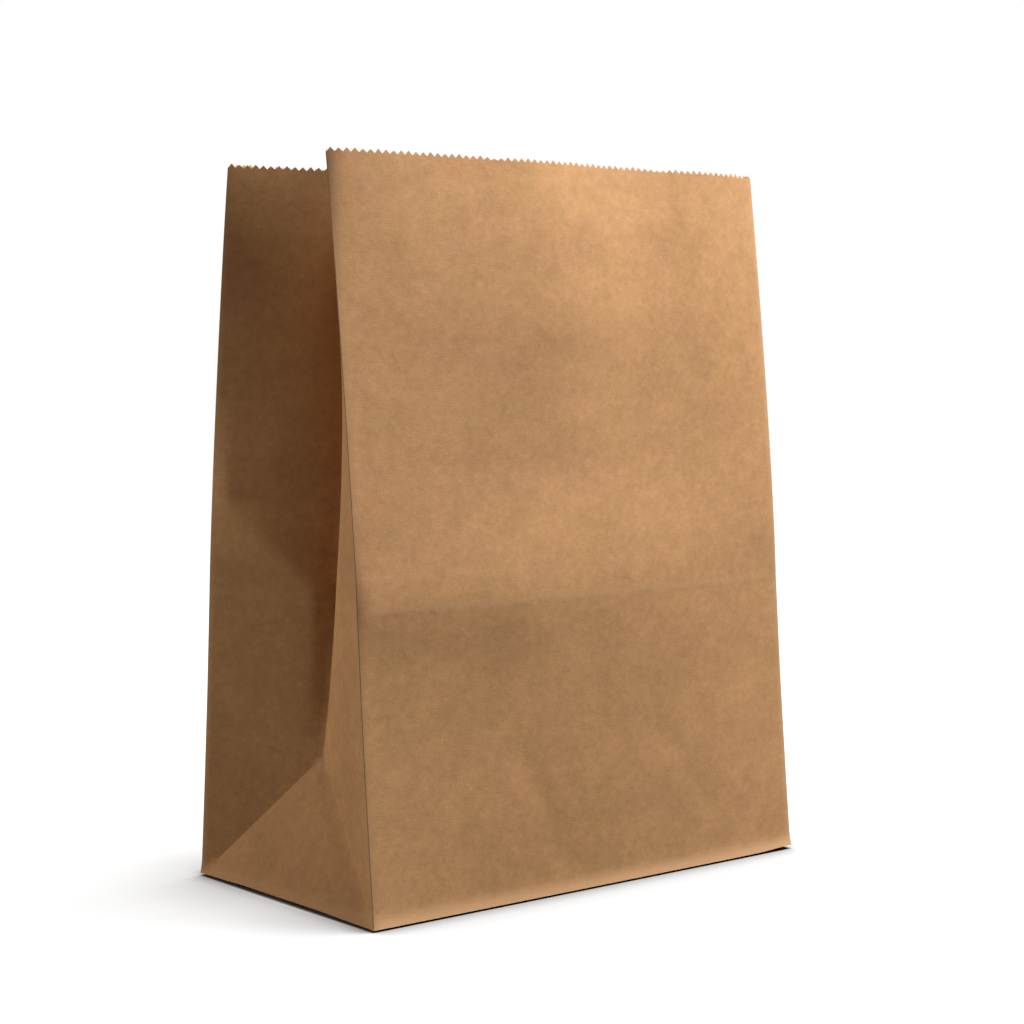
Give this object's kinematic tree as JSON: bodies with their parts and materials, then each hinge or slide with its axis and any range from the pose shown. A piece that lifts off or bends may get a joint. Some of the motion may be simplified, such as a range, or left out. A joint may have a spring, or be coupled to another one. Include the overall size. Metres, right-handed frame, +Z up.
{
  "type": "paper bag",
  "caption": "Open brown kraft paper bag with a flat glued base, pleated sides and a saw-cut top edge, standing upright.",
  "frame": {"origin": "bottom centre of the bounding box, on the surface the bag stands on", "axes": "+X to the right along the front panel, +Y from the front panel to the back panel, +Z up out of the mouth"},
  "size_m": [0.3338, 0.1782, 0.435],
  "materials": {
    "kraft_paper": "uncoated brown kraft paper, matt, with a faint fibre grain"
  },
  "bodies": {
    "root": {"paper_bag": "kraft_paper"}
  },
  "joints": []
}
